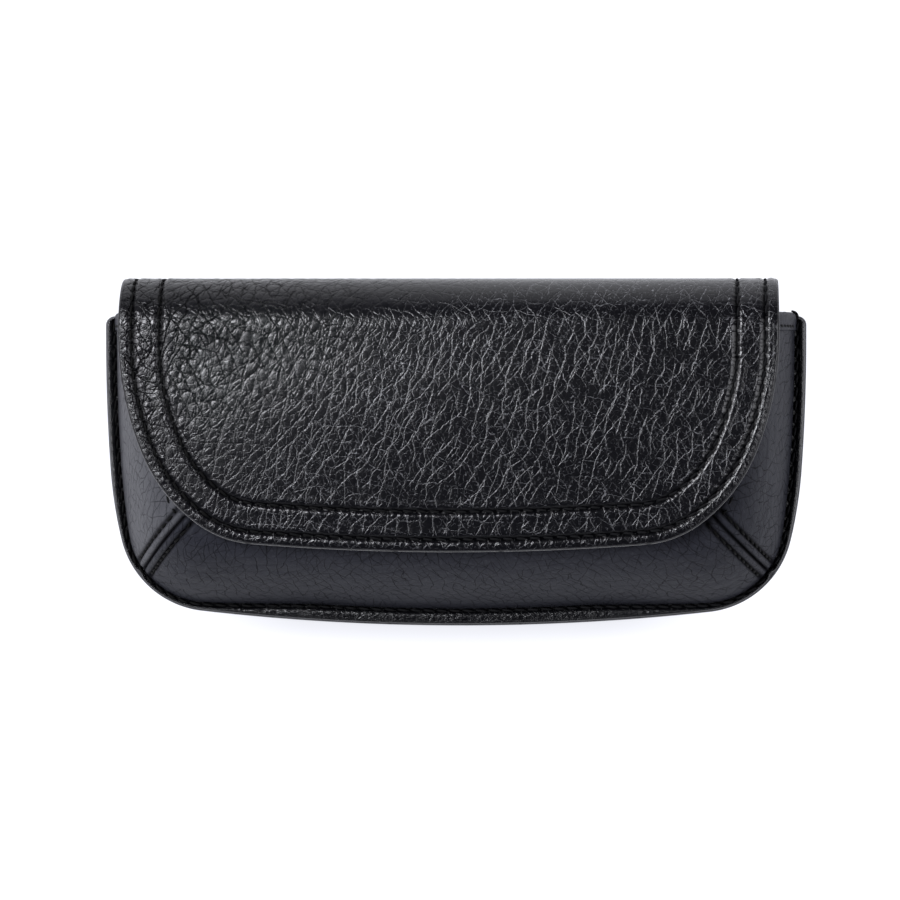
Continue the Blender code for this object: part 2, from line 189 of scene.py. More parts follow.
def hashed(i, j, seed):
    """Two repeatable numbers from 0 to 1 for each whole-numbered cell."""
    base = i * 127.1 + j * 311.7 + seed * 74.7
    other = i * 269.5 + j * 183.3 + seed * 113.3
    return np.modf(np.abs(np.sin(base)) * 43758.5453)[0], np.modf(
        np.abs(np.sin(other)) * 24634.6345)[0]


def value_noise(a, b, size, seed):
    """Smooth noise from -1 to 1 with features of about one size."""
    u, v = a / size, b / size
    i, j = np.floor(u), np.floor(v)
    fu, fv = smooth(u - i, 0, 1), smooth(v - j, 0, 1)
    corner = [[hashed(i + p, j + q, seed)[0] for q in (0, 1)] for p in (0, 1)]
    low = corner[0][0] * (1 - fu) + corner[1][0] * fu
    high = corner[0][1] * (1 - fu) + corner[1][1] * fu
    return 2 * (low * (1 - fv) + high * fv) - 1


def warped(a, b, size, amount, seed):
    return (
        a + amount * value_noise(a, b, size, seed),
        b + amount * value_noise(a, b, size, seed + 1),
    )


def cell_gap(a, b, size, seed):
    """Distance to the border between rounded cells of about one size."""
    u, v = a / size, b / size
    i0, j0 = np.floor(u), np.floor(v)
    near, second = np.full(u.shape, 1e9), np.full(u.shape, 1e9)
    nu, nv, su, sv = (np.zeros_like(u) for _ in range(4))
    for di in (-1, 0, 1):
        for dj in (-1, 0, 1):
            hu, hv = hashed(i0 + di, j0 + dj, seed)
            pu, pv = i0 + di + 0.1 + 0.8 * hu, j0 + dj + 0.1 + 0.8 * hv
            away = (pu - u) ** 2 + (pv - v) ** 2
            closer = away < near
            middle = ~closer & (away < second)
            second = np.where(closer, near, np.where(middle, away, second))
            su = np.where(closer, nu, np.where(middle, pu, su))
            sv = np.where(closer, nv, np.where(middle, pv, sv))
            nu, nv = np.where(closer, pu, nu), np.where(closer, pv, nv)
            near = np.where(closer, away, near)
    apart = np.hypot(nu - su, nv - sv) + 1e-6
    return (second - near) / (2 * apart) * size


# Columns of grain's marks: four counts, four strengths, the wear, and the distances to
# a pebble's border and to a stitched channel. A mesh holds them as four attributes
STRENGTHS, WEAR, TO_CHANNEL = slice(4, 8), 8, 10
FAR = 9.0
MARK_PLACES = {
    "counts": (0, 1, 2), "mixed": (3, 7, 8), "strengths": (4, 5, 6), "gaps": (9, 10, 10),
}

# Families of long creases that cross into cells: direction in degrees, spacing,
# how much they wander, and how much of each shows at least and at most
CREASES = [(-76, 2.9, 0.45, 0.1, 1.0), (-50, 3.1, 0.45, 0.0, 1.0),
           (60, 3.2, 0.45, 0.0, 0.9), (14, 3.4, 0.5, 0.0, 0.8)]


def grain(a, b, seed=0, coarse=1.0, pebbled=0.0, wear=0.0):
    """The height of grained leather and its marks: for each family the count of
    creases passed, which is whole on a crease, then how strong each is, the wear, and
    the distances to the border of a pebble and to a stitched channel, which are far
    where there are none."""
    counts, strengths = [], []
    dome, height = 1.0, 0.0
    for number, (angle, spacing, wander, least, most) in enumerate(CREASES):
        spacing = spacing * coarse
        c, s = math.cos(math.radians(angle)), math.sin(math.radians(angle))
        own = seed + 20 * number
        passed = (b * c - a * s) / spacing
        passed = passed + wander * value_noise(a, b, 2.9 * spacing, own + 1)
        passed = passed + 0.45 * wander * value_noise(a, b, 0.95 * spacing, own + 3)
        strength = smooth(value_noise(a, b, 1.15 * spacing, own + 7), -0.6, 0.25)
        strength = least + (most - least) * strength
        away = np.abs(passed - np.round(passed)) * spacing
        dome = dome * (1 - strength * np.exp(-(away / 0.7) ** 2))
        height = height - 0.02 * strength * np.exp(-(away / 0.42) ** 2)
        counts.append(passed)
        strengths.append(strength)
    height = height + 0.02 * dome + 0.015 * value_noise(a, b, 1.3, seed + 91) * dome
    height = height * (1 - 0.65 * wear)
    wa, wb = warped(a, b, 3.2, 0.8, seed + 61)
    gap = cell_gap((wa - wb) * 0.62, (wa + wb) * 0.76, 2.9 * coarse, seed + 71)
    height = height + pebbled * 0.075 * (0.5 - (1 - np.clip(gap / 1.3, 0, 1)) ** 2)
    gap = gap + 4 * (1 - smooth(np.maximum(pebbled, wear), 0.0, 0.5))
    others = [np.broadcast_to(wear, gap.shape), gap, np.full(gap.shape, FAR)]
    return height, np.stack(counts + strengths + others, axis=-1)


def pucker(along, across, centre, width, depth, seed):
    """Short wrinkles that cross a stitched band."""
    wave = np.cos(2 * math.pi * (along + 0.5 * value_noise(along, across, 3.0, seed)) / 1.6)
    wave += 0.7 * value_noise(along * 1.4, across * 0.8, 0.9, seed + 1)
    return depth * wave * bump(across, centre, width)


# ------------------------------------------------------------------ meshes

def add_object(name, data):
    made = bpy.data.objects.new(name, data)
    bpy.context.scene.collection.objects.link(made)
    return made


def make_mesh(name, points, faces, look, uv, marks=None, patch=None):
    """A smooth mesh object from points in mm, with flat coordinates in metres as its
    UV. Marks are grain's, and a patch is another look and the slice of faces it's on."""
    data = bpy.data.meshes.new(name)
    data.from_pydata((np.asarray(points, float) * MM).tolist(), [], [tuple(f) for f in faces])
    data.shade_smooth()
    layer = data.uv_layers.new(name="flat")
    index = np.empty(len(data.loops), np.int64)
    data.loops.foreach_get("vertex_index", index)
    layer.data.foreach_set("uv", (np.asarray(uv)[index] * MM).ravel().astype(np.float32))
    if marks is not None:
        for label, picked in MARK_PLACES.items():
            made = data.attributes.new(label, "FLOAT_VECTOR", "POINT")
            made.data.foreach_set("vector", marks[:, picked].astype(np.float32).ravel())
    data.materials.append(look)
    if patch:
        data.materials.append(patch[0])
        slots = np.zeros(len(data.polygons), np.int32)
        slots[patch[1]] = 1
        data.polygons.foreach_set("material_index", slots)
    return add_object(name, data)


def grid_faces(rows, columns, flip=False):
    """Quads of a grid whose points run along each row in turn."""
    index = np.arange(rows * columns).reshape(rows, columns)
    quads = np.stack([
        index[:-1, :-1], index[:-1, 1:], index[1:, 1:], index[1:, :-1]
    ], axis=-1).reshape(-1, 4)
    return (quads[:, ::-1] if flip else quads).tolist()


def edge_field(outline, a, b):
    """Signed distance inside a dense closed outline, the length along it, and the
    nearest point and outward normal there."""
    along = length_along(outline)
    tangent = np.roll(outline, -1, axis=0) - np.roll(outline, 1, axis=0)
    tangent /= np.linalg.norm(tangent, axis=1)[:, None] + 1e-12
    turning = np.sum(
        outline[:, 0] * np.roll(outline[:, 1], -1) - outline[:, 1] * np.roll(outline[:, 0], -1)
    )
    outward = np.stack([tangent[:, 1], -tangent[:, 0]], axis=1) * np.sign(turning)
    tree = kdtree.KDTree(len(outline))
    for number, (x, y) in enumerate(outline):
        tree.insert((x, y, 0), number)
    tree.balance()
    nearest = np.array([tree.find((x, y, 0))[1] for x, y in zip(a, b)])
    offset = np.stack([a, b], axis=1) - outline[nearest]
    inside = -np.sum(offset * outward[nearest], axis=1)
    distance = np.linalg.norm(offset, axis=1) * np.where(inside < 0, -1, 1)
    return distance, along[nearest], outline[nearest], outward[nearest]


def trimmed_grid(outline, columns, rows):
    """A grid of points in the flat, cut to an outline with its border points on it.
    Returns the points, the quads and the border in order."""
    step = columns[1] - columns[0]
    a, b = (field.ravel() for field in np.meshgrid(columns, rows))
    distance, _, nearest, _ = edge_field(outline, a, b)
    quads = np.array(grid_faces(len(rows), len(columns)))
    quads = quads[(distance[quads] > -0.5 * step).all(axis=1)]
    edges = np.concatenate([quads[:, [k, (k + 1) % 4]] for k in range(4)])
    key = edges[:, 0] * len(a) + edges[:, 1]
    back = edges[:, 1] * len(a) + edges[:, 0]
    border = edges[~np.isin(key, back)]
    follows = {start: end for start, end in border.tolist()}
    start = border[0, 0]
    loop = [start]
    while follows[loop[-1]] != start:
        loop.append(follows[loop[-1]])
    loop = np.array(loop)
    a[loop], b[loop] = nearest[loop].T
    used = np.unique(quads)
    renumber = np.full(len(a), -1)
    renumber[used] = np.arange(len(used))
    return a[used], b[used], renumber[quads], renumber[loop]


def skin(name, outline, columns, rows, lay, relief, edge, look, flip=False):
    """A leather piece cut to a flat outline. lay puts flat points at a height over the
    case, relief gives height and marks, and edge is (outwards, down) round the rim, but
    not along the middle of the strip, where the next piece goes on."""
    a, b, quads, loop = trimmed_grid(outline, columns, rows)
    cut = np.abs(b[loop] - STRIP_MIDDLE) < 0.01
    keep = ~(cut & np.roll(cut, -1))
    distance, along, _, outward = edge_field(outline, a, b)
    height, marks = relief(a, b, distance, along)
    points = [lay(a, b, height)]
    uvs = [np.stack([a, b], axis=1)]
    painted = (len(edge) - 2) * keep.sum()
    patch = (EDGE_PAINT_AND_SHEEN, slice(-painted, None)) if look is FLAP_LEATHER else None
    if marks is not None:
        # The painted edge keeps the counts, but has no creases, pebbles or channels
        rim_marks = marks[loop] * ([1] * 4 + [0] * 5 + [FAR] * 2)
        marks = [marks] + [rim_marks] * len(edge)
    faces = [quads]
    count = len(a)
    previous = loop
    for out, down in edge:
        ea = a[loop] + outward[loop, 0] * out
        eb = b[loop] + outward[loop, 1] * out * ~cut
        points.append(lay(ea, eb, height[loop] * 0.6 - down))
        uvs.append(np.stack([ea, eb + down], axis=1))
        ring = count + np.arange(len(loop))
        faces.append(np.stack(
            [np.roll(previous, -1), previous, ring, np.roll(ring, -1)], axis=1)[keep])
        previous = ring
        count += len(loop)
    faces = np.concatenate(faces)
    if flip:
        faces = faces[:, ::-1]
    return make_mesh(
        name, np.concatenate(points), faces.tolist(), look,
        np.concatenate(uvs), marks and np.concatenate(marks), patch,
    )


def stitches(name, path, normals):
    """A row of separate stitches along a path on a surface."""
    along = length_along(path)
    count = int(along[-1] / STITCH_PITCH)
    start = (along[-1] - count * STITCH_PITCH) / 2
    ring, stations = 8, 7
    across = np.linspace(-1, 1, stations)
    radius = 0.30 * np.sqrt(np.clip(1 - np.abs(across) ** 3.5, 0.02, 1))
    lift = 0.10 - 0.42 * np.abs(across) ** 3
    turn = np.arange(ring) / ring * 2 * math.pi
    points, faces, uvs = [], [], []
    for number in range(count):
        at = start + STITCH_PITCH * (number + 0.5) + across * STITCH_PITCH * 0.43
        centre = np.stack([np.interp(at, along, path[:, k]) for k in range(3)], 1)
        normal = unit(np.stack([np.interp(at, along, normals[:, k]) for k in range(3)], 1))
        side = np.cross(unit(np.gradient(centre, axis=0)), normal)
        lean = (across * 0.16)[:, None]
        centre = centre + normal * lift[:, None] + side * lean
        body = (
            centre[:, None, :]
            + radius[:, None, None] * np.cos(turn)[None, :, None] * side[:, None, :]
            + radius[:, None, None] * np.sin(turn)[None, :, None] * normal[:, None, :]
        )
        first = len(points) * (ring * stations + 2)
        points.append(np.concatenate([body.reshape(-1, 3), centre[:1], centre[-1:]]))
        sides = np.stack([np.repeat(at, ring), np.tile(turn, stations)], 1)
        uvs.append(np.concatenate([sides, [[at[0], 0], [at[-1], 0]]]))
        head, tail = first + ring * stations, first + ring * stations + 1
        last = first + (stations - 1) * ring
        pairs = [(k, (k + 1) % ring) for k in range(ring)]
        for low in range(first, last, ring):
            faces += [(low + k, low + ring + k, low + ring + n, low + n) for k, n in pairs]
        for k, n in pairs:
            faces += [(head, first + k, first + n), (tail, last + n, last + k)]
    return make_mesh(name, np.concatenate(points), faces, THREAD, np.concatenate(uvs))


# ------------------------------------------------------------------ materials

class Nodes:
    """A short way to write a material's nodes."""

    def __init__(self, name):
        self.material = bpy.data.materials.new(name)
        self.material.use_nodes = True
        self.tree = self.material.node_tree
        self.shader = self.tree.nodes["Principled BSDF"]

    def add(self, kind, **values):
        """A node, with values for its inputs and its settings."""
        node = self.tree.nodes.new(kind)
        for key, value in values.items():
            label = key.replace("_", " ")
            if label in node.inputs:
                node.inputs[label].default_value = value
            else:
                setattr(node, key, value)
        return node

    def link(self, source, target):
        self.tree.links.new(source, target)

    def set(self, **values):
        for key, value in values.items():
            self.shader.inputs[key.replace("_", " ")].default_value = value

    def flat(self):
        return self.add("ShaderNodeUVMap", uv_map="flat").outputs["UV"]

    def noise(self, scale, detail=2.0, roughness=0.5):
        node = self.add(
            "ShaderNodeTexNoise", Scale=scale, Detail=detail, Roughness=roughness)
        self.link(self.flat(), node.inputs["Vector"])
        return node.outputs["Fac"]

    def ramp(self, source, stops):
        node = self.add("ShaderNodeValToRGB")
        elements = node.color_ramp.elements
        while len(elements) < len(stops):
            elements.new(0.5)
        for element, (position, color) in zip(elements, stops):
            element.position = position
            element.color = (*color, 1)
        self.link(source, node.inputs["Fac"])
        return node.outputs["Color"]

    def scaled(self, source, low, high):
        node = self.add("ShaderNodeMapRange", To_Min=low, To_Max=high)
        self.link(source, node.inputs["Value"])
        return node.outputs["Result"]

    def math(self, operation, first, second):
        node = self.add("ShaderNodeMath", operation=operation)
        for socket, value in zip(node.inputs, (first, second)):
            if isinstance(value, (int, float)):
                socket.default_value = value
            else:
                self.link(value, socket)
        return node.outputs["Value"]

    def in_turn(self, operation, first, *others):
        for other in others:
            first = self.math(operation, first, other)
        return first

    times = partialmethod(in_turn, "MULTIPLY")
    plus = partialmethod(in_turn, "ADD")
    minus = partialmethod(in_turn, "SUBTRACT")
    most = partialmethod(in_turn, "MAXIMUM")

    def fall(self, source, reach):
        """One at zero, falling smoothly to none at a reach."""
        node = self.add(
            "ShaderNodeMapRange", interpolation_type="SMOOTHSTEP",
            From_Max=reach, To_Min=1.0, To_Max=0.0)
        self.link(source, node.inputs["Value"])
        return node.outputs["Result"]

    def cell_edges(self, scale, warp):
        """Distance to the border of small cells whose borders waver."""
        shift = self.add("ShaderNodeTexNoise", Scale=420)
        self.link(self.flat(), shift.inputs["Vector"])
        add = self.add("ShaderNodeVectorMath", operation="MULTIPLY_ADD")
        add.inputs[1].default_value = (warp, warp, warp)
        self.link(shift.outputs["Color"], add.inputs[0])
        self.link(self.flat(), add.inputs[2])
        cells = self.add("ShaderNodeTexVoronoi", feature="DISTANCE_TO_EDGE", Scale=scale)
        self.link(add.outputs["Vector"], cells.inputs["Vector"])
        return cells.outputs["Distance"]

    def bumps(self, source, strength, distance):
        node = self.add("ShaderNodeBump", Strength=strength, Distance=distance)
        self.link(source, node.inputs["Height"])
        self.link(node.outputs["Normal"], self.shader.inputs["Normal"])


def leather_look(name, groove_shade_color, dark, light, rough, gloss, depth=1.0, reach=0.31, mottle=0.0):
    """Black leather. Fine creases are cut where a family's count is whole, and they
    are lighter with wear, a lightness that is also a painted glint. Grooves and
    stitched channels get painted shade: a darker colour and less shine. Reach is a
    crease's width to either side."""
    made = Nodes(name)

    def three(label):
        node = made.add("ShaderNodeAttribute", attribute_name=label)
        split = made.add("ShaderNodeSeparateXYZ")
        made.link(node.outputs["Vector"], split.inputs["Vector"])
        return [split.outputs[axis] for axis in "XYZ"]

    counts, mixed, strengths = three("counts"), three("mixed"), three("strengths")
    counts.append(mixed[0])
    strengths.append(mixed[1])
    wear = mixed[2]
    fresh = made.minus(1.0, wear)
    to_pebble, to_channel, _ = three("gaps")

    # Creases, sharp in the middle and wide round it, broken by a wobble
    wobble = made.times(made.minus(made.noise(900, 2), 0.5), 0.24)
    sharp, wide = [], []
    for (_, spacing, *_), count, strength in zip(CREASES, counts, strengths):
        near = made.math("PINGPONG", made.plus(count, wobble), 0.5)
        sharp.append(made.times(made.fall(near, 0.12 / spacing), strength))
        wide.append(made.times(made.fall(near, reach / spacing), strength))
    sharp, wide = made.most(*sharp), made.most(*wide)
    pebble = made.times(made.fall(to_pebble, 0.35), fresh)
    groove = made.times(made.fall(to_pebble, 0.26), fresh)
    channel = made.fall(to_channel, 1.15)
    net = made.times(made.fall(to_pebble, 0.16), made.scaled(made.noise(330, 2), 0.0, 1.7))
    fine = made.fall(made.cell_edges(620, 0.0009), 0.09)

    # Light with wear and as a painted glint on the creases; black in fresh grooves and stitched
    # channels as painted shade
    broken = made.times(
        made.scaled(made.noise(1500, 3, 0.6), -1.4, 2.2),
        made.scaled(made.noise(260, 2), 0.0, 1.3))
    worn_and_glint = made.times(made.most(sharp, net), broken, wear, made.minus(1.0, channel))
    worn_and_glint = made.most(worn_and_glint, made.times(fine, wear, broken, 0.3))
    painted_groove_shade = made.most(made.times(wide, fresh), groove, channel)
    tone = made.plus(made.times(made.minus(worn_and_glint, painted_groove_shade), 0.5), 0.5)
    if mottle:
        spots = made.minus(made.noise(620, 4, 0.7), 0.5)
        tone = made.plus(tone, made.times(spots, mottle))
    made.link(made.ramp(tone, [(0.1, groove_shade_color), (0.52, dark), (0.97, light)]),
              made.shader.inputs["Base Color"])
    satin = made.plus(made.scaled(made.noise(500, 2), rough - 0.05, rough + 0.06),
                      made.times(fresh, 0.04))
    made.link(satin, made.shader.inputs["Roughness"])
    made.link(made.scaled(painted_groove_shade, gloss, 0.04 * gloss), made.shader.inputs["Specular IOR Level"])

    height = made.plus(
        made.times(sharp, -0.00007 * depth), made.times(wide, -0.00005 * depth),
        made.times(fine, -0.000035 * depth), made.times(pebble, -0.00004))
    height = made.times(height, made.scaled(wear, 1.0, 0.4))
    height = made.plus(height, made.times(made.noise(2600, 3, 0.6), 0.000022))
    made.bumps(height, 1.0, 1.0)
    return made.material


def suede_look(name, color, light):
    made = Nodes(name)
    nap = made.noise(350, 4, 0.65)
    made.link(made.ramp(nap, [(0.3, color), (0.75, light)]), made.shader.inputs["Base Color"])
    made.bumps(made.noise(3000, 3, 0.7), 0.7, 0.0001)
    made.set(Roughness=0.95, Sheen_Weight=0.5, Sheen_Roughness=0.5, Specular_IOR_Level=0.2)
    return made.material


def thread_look(name):
    made = Nodes(name)
    wave = made.add("ShaderNodeTexWave", bands_direction="DIAGONAL", Scale=1.4)
    made.link(made.flat(), wave.inputs["Vector"])
    stops = [(0.2, (0.002, 0.002, 0.002)), (0.9, (0.006, 0.006, 0.007))]
    made.link(made.ramp(wave.outputs["Fac"], stops), made.shader.inputs["Base Color"])
    made.bumps(wave.outputs["Fac"], 0.8, 0.00008)
    made.set(Roughness=0.75, Specular_IOR_Level=0.15)
    return made.material


# Edge paint made grey: its lightness is also a painted highlight along the rolled edge.
def paint_and_sheen_look(name):
    made = Nodes(name)
    stops = [(0.3, (0.03, 0.03, 0.034)), (0.8, (0.085, 0.085, 0.092))]
    made.link(made.ramp(made.noise(160, 3), stops), made.shader.inputs["Base Color"])
    made.bumps(made.noise(900, 2), 0.3, 0.0001)
    made.set(Roughness=0.35)
    return made.material


def plain_look(name, low, high, rough, metal=0.0):
    made = Nodes(name)
    spots = made.add("ShaderNodeTexNoise", Scale=900, Detail=3)
    made.link(made.add("ShaderNodeTexCoord").outputs["Object"], spots.inputs["Vector"])
    made.link(made.ramp(spots.outputs["Fac"], [(0.3, low), (0.7, high)]),
              made.shader.inputs["Base Color"])
    made.bumps(spots.outputs["Fac"], 0.2, 0.0001)
    made.set(Roughness=rough, Metallic=metal)
    return made.material


# Each leather's first colour is painted shade in its grooves. Its last, far lighter than black
# hide, is the lightness of wear and also a painted glint on the creases.
FLAP_LEATHER = leather_look(
    "flap_leather", (0.0008, 0.0008, 0.0012), (0.0042, 0.0042, 0.0055), (0.29, 0.292, 0.31),
    0.20, 0.5)
# The front's panels are the same black leather, given a lighter, bluish, matte colour that is a
# painted reflection of the white table round them.
PANEL_LEATHER = leather_look(
    "panel_leather", (0.009, 0.009, 0.011), (0.025, 0.026, 0.034), (0.12, 0.122, 0.13),
    0.5, 0.08, 0.6, 0.19, 0.4)
# The left gusset's copy of that leather is lighter still: painted light from the left.
LIT_GUSSET_LEATHER = leather_look(
    "lit_gusset_leather", (0.026, 0.026, 0.03), (0.08, 0.081, 0.09), (0.14, 0.142, 0.15),
    0.45, 0.1, 0.6, 0.21, 0.4)
SUEDE = suede_look("lining_suede", (0.008, 0.008, 0.009), (0.02, 0.02, 0.022))
THREAD = thread_look("bonded_thread")
EDGE_PAINT_AND_SHEEN = paint_and_sheen_look("edge_paint_and_sheen")
# Outwards and down from the edge of a hide's grained side, round its painted edge
PAINTED_EDGE = [(0.2, 0.01), (0.36, 0.07), (0.5, 0.22), (0.54, 0.6), (0.4, 0.95),
                (0.1, 1.15), (-1.5, 1.2)]
BOARD_LOOK = plain_look("pressed_board", (0.16, 0.15, 0.13), (0.27, 0.25, 0.22), 0.85)
STEEL = plain_look("nickel_plate", (0.5, 0.5, 0.48), (0.62, 0.62, 0.6), 0.28, 1.0)


# ------------------------------------------------------------------ the folded leather

def fold_line(along, below):
    """Height up the case, level and outward direction of the folded leather, at a
    length along its outside from where it leaves the ground and a depth below it."""
    flat = along < 0
    back = (along >= 0) & (along < WALL_START)
    wall = (along >= WALL_START) & (along < FRONT_START)
    front = (along >= FRONT_START) & (along < FRONT_END)
    ta = along / BACK_FOLD
    tb = (along - FRONT_START) / FRONT_FOLD
    tc = (along - FRONT_END) / FLAP_CURVE
    cases = [flat, back, wall, front]
    out_up = np.select(cases, [0 * ta, np.sin(ta), 1 + 0 * ta, np.cos(tb)], -np.sin(tc))
    out_z = np.select(cases, [-1 + 0 * ta, -np.cos(ta), 0 * ta, np.sin(tb)], np.cos(tc))
    up = np.select(cases, [
        FOLD_START + along,
        FOLD_START + BACK_FOLD * np.sin(ta),
        HEIGHT + 0 * ta,
        HEIGHT - FRONT_FOLD + FRONT_FOLD * np.cos(tb),
    ], HEIGHT - FRONT_FOLD - FLAP_CURVE * np.sin(tc))
    z = np.select(cases, [
        0 * ta,
        BACK_FOLD - BACK_FOLD * np.cos(ta),
        BACK_FOLD + along - WALL_START,
        DEPTH - FRONT_FOLD + FRONT_FOLD * np.sin(tb),
    ], DEPTH - FLAP_CURVE + FLAP_CURVE * np.cos(tc))
    return up - out_up * below, z - out_z * below, out_up, out_z


def droop(x, along):
    """How far the hide lies below a flat flap: its sides hang a little, and its middle
    is padded."""
    on_flap = smooth(along, FRONT_START, FRONT_END + 14)
    sides = SIDE_DROOP * (np.abs(x) / FLAP_HALF_WIDTH) ** 4
    down = np.clip((along - FRONT_END) / (FLAP_END - FRONT_END), 0, 1)
    pad = PADDING * (1 - (x / FLAP_HALF_WIDTH) ** 2)
    pad = pad * smooth(down, -0.1, 0.45) * (1 - down ** 3)
    return (sides - pad) * on_flap


def lay_fold(x, along, height):
    up, z, _, _ = fold_line(along, -height + droop(x, along))
    return np.stack([x, BOTTOM + up, z], axis=1)


def fold_normals(x, along):
    _, _, out_up, out_z = fold_line(along, 0 * along)
    return np.stack([0 * x, out_up, out_z], axis=1)


def down_front(up):
    return FRONT_END + FLAP_CURVE * np.arcsin((HEIGHT - FRONT_FOLD - up) / FLAP_CURVE)


def flap_line(inset):
    """The flap's lower outline in the flat, from the left fold round to the right."""
    counts = arc_counts(FLAP_ARCS, OUTLINE_STEP)
    half, _ = walk((0, FLAP_BOTTOM), FLAP_ARCS, counts, inset)
    line = both_sides(half)
    return np.stack([line[:, 0], down_front(line[:, 1])], axis=1)


def strip_sides(line, side, start):
    """An outline from a length on the strip, round the flap and back."""
    return np.concatenate([[[-side, start]], line, [[side, start]]])


def closed(line, step=OUTLINE_STEP):
    return resample(np.concatenate([line, line[:1]]), step)[:-1]


def back_outline(half, side, ends, step=OUTLINE_STEP):
    """The flat back by half of its outline, on up the strip's sides to its middle."""
    line = both_sides(half)
    flat = np.stack([line[:, 0], line[:, 1] - FOLD_START], axis=1)
    strip = [[side, ends], [side, STRIP_MIDDLE], [-side, STRIP_MIDDLE], [-side, ends]]
    return flat, closed(np.concatenate([flat, strip]), step)


def row_relief(across, along, at, seed):
    """The channel that a row of stitches pulls into the leather."""
    channel = -(0.42 + 0.14 * beat(along)) * bump(across, at, 0.62)
    uneven = 0.06 * (1 + value_noise(along, across, 2.6, seed))
    return channel + uneven * (bump(across, at + 1.45, 0.8) + bump(across, at - 1.4, 0.75))


def flap_across(a, b, distance):
    """How far in from the flap's and strip's edge, which the cut in the middle of the
    strip isn't part of."""
    sides = FLAP_HALF_WIDTH - EDGE_OUT - np.abs(a)
    return np.where(b < FRONT_END + 4, sides, np.minimum(distance, sides))


def flap_relief(a, b, distance, along):
    """Grain, the two stitched rows and the rolled edge of the flap and strip."""
    across = flap_across(a, b, distance)
    wear = smooth(0.75 * a + 0.9 * (b - FRONT_END), -52, 6)
    height, marks = grain(a, b, pebbled=1 - 0.85 * wear, wear=wear)
    height = height * (1 - 0.4 * bump(across, 1.2, 1.6)) * smooth(across, 0.0, 0.5)
    edge_at, inner_at = EDGE_ROW - EDGE_OUT, INNER_ROW - EDGE_OUT
    height += row_relief(across, along, edge_at, 1) + row_relief(across, along, inner_at, 2)
    height += pucker(along, across, 1.0, 0.95, 0.045, 51)
    height += pucker(along, across, edge_at + 1.2, 1.0, 0.05, 53)
    height += pucker(along, across, inner_at, 1.5, 0.065, 55)
    height -= 0.12 * (1 - np.sqrt(1 - (1 - np.clip(across / 0.5, 0, 1)) ** 2))
    marks[:, STRENGTHS] *= smooth(across, 0.1, 0.5)[:, None]
    marks[:, TO_CHANNEL] = np.minimum(np.abs(across - edge_at), np.abs(across - inner_at))
    return height, marks


def back_relief(a, b, distance, along):
    height, marks = flap_relief(a, b, distance, along)
    on_fold = smooth(b, -4.0, 2.0)
    plain, _ = grain(a, b)
    height = on_fold * height + (1 - on_fold) * np.minimum(plain - 0.12, 0)
    height -= 0.4 * (1 - smooth(distance, 0, 0.9)) * (b < 0)
    marks[:, WEAR] = 0.3 + (marks[:, WEAR] - 0.3) * smooth(b, 2, 20)
    return height, marks


def even(start, end, step):
    count = max(1, round(abs(end - start) / step))
    return np.linspace(start, end, count + 1)


def cut_corner(points):
    """Round the top corner of half of the rim's outline, which goes on to the mouth."""
    radius = RIM_TOP_CORNER
    below = points[points[:, 1] < MOUTH - radius]
    turned = np.linspace(0, math.pi / 2, 14)
    x = np.interp(MOUTH - radius, points[:, 1], points[:, 0])
    corner = np.stack([
        x - radius * (1 - np.cos(turned)), MOUTH - radius + radius * np.sin(turned)
    ], axis=1)
    return np.concatenate([below, corner])


def make_outer_leather():
    """The one hide: the back, over the mouth, and the flap. It's cut in the middle of
    the strip, where its two halves meet."""
    side = FLAP_HALF_WIDTH - EDGE_OUT
    outline = closed(strip_sides(flap_line(EDGE_OUT), side, STRIP_MIDDLE))
    columns = even(-side, side, GRAIN_STEP)
    rows = np.concatenate([
        even(STRIP_MIDDLE, FRONT_END, GRAIN_STEP)[:-1],
        even(FRONT_END, down_front(FLAP_BOTTOM + EDGE_OUT) + 0.2, GRAIN_STEP),
    ])
    flap = skin(
        "flap_leather_skin", outline, columns, rows, lay_fold, flap_relief,
        PAINTED_EDGE, FLAP_LEATHER, flip=True,
    )
    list(fold_ends(FRONT_START, FRONT_END))
    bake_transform(flap)
    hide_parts("flap_leather")

    half = rise(*walk((0, 0), RIM_ARCS, arc_counts(RIM_ARCS, OUTLINE_STEP)), MOUTH, 40)
    half = cut_corner(half)
    flat, outline = back_outline(half, side, half[-1, 1] - FOLD_START)
    wide = flat[:, 0].max()
    rows = np.concatenate([
        even(-FOLD_START, -9, 0.8)[:-1], even(-9, STRIP_MIDDLE, GRAIN_STEP),
    ])
    back = skin(
        "back_leather_skin", outline, even(-wide, wide, 0.5), rows, lay_fold, back_relief,
        PAINTED_EDGE, FLAP_LEATHER, flip=True,
    )
    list(fold_ends(0, WALL_START))
    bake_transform(back)
    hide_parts("back_leather", "top_leather")


def fold_ends(first, last):
    """Two points of the folded leather, in metres."""
    ends = []
    for along in (first, last):
        up, z, _, _ = fold_line(np.array([float(along)]), np.array([0.0]))
        ends.append((0, (BOTTOM + up[0]) * MM, z[0] * MM))
    return ends


def fold_stitches(name, line):
    path = lay_fold(line[:, 0], line[:, 1], -THREAD_ABOVE)
    return stitches(name, path, fold_normals(line[:, 0], line[:, 1]))


